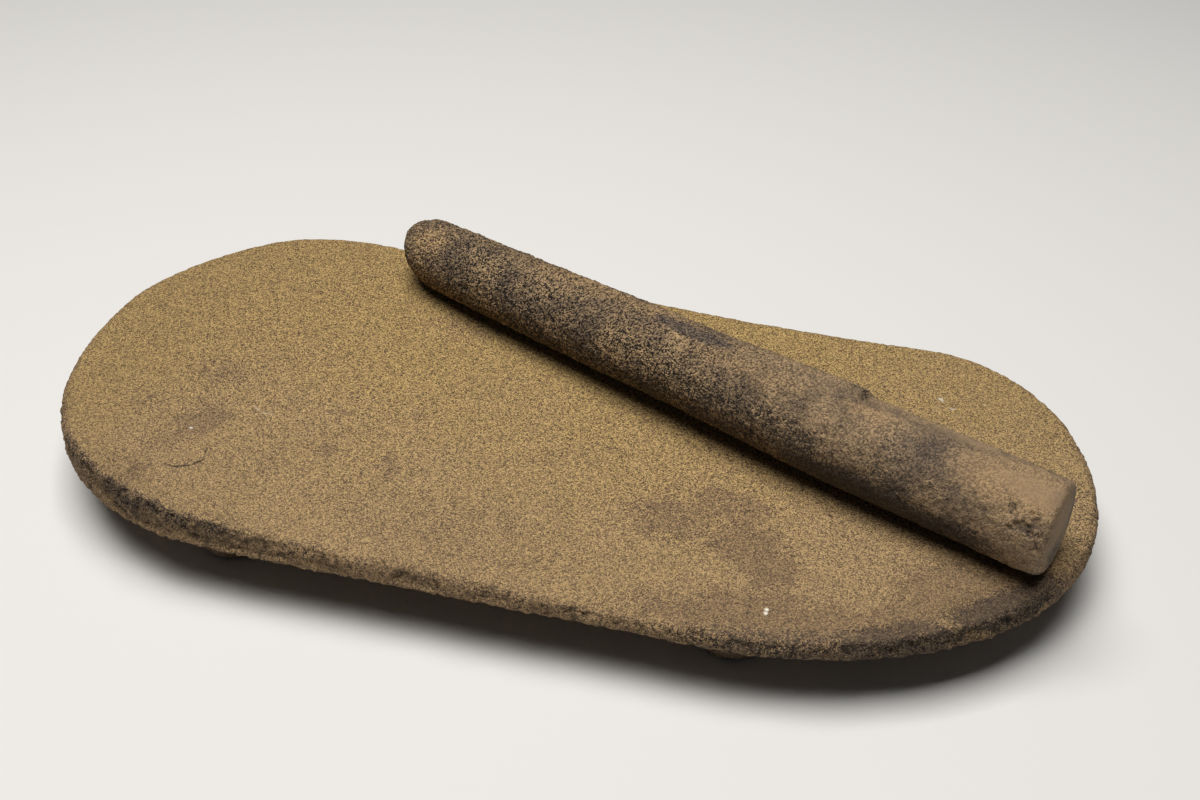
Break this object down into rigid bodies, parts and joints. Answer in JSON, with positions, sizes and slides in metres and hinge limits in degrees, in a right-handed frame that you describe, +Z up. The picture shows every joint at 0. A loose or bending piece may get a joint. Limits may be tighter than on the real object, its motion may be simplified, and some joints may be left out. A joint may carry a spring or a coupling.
{
  "type": "saddle quern",
  "caption": "Prehistoric saddle quern: a long worn sandstone slab on short carved feet, with its loose stone roller lying across it.",
  "frame": {"origin": "on the ground under the middle of the slab, with the feet standing on z = 0", "axes": "+X along the slab from its broad, high end to its narrow end; +Y across it towards the side where the roller's thinner end lies; +Z up"},
  "size_m": [0.68, 0.3359, 0.1119],
  "materials": {
    "slab_sandstone": "rough, fine grained, worn on top",
    "roller_sandstone": "rough, pitted, stained by handling"
  },
  "bodies": {
    "root": {"quern_slab": "slab_sandstone", "roller": "roller_sandstone"}
  },
  "joints": []
}
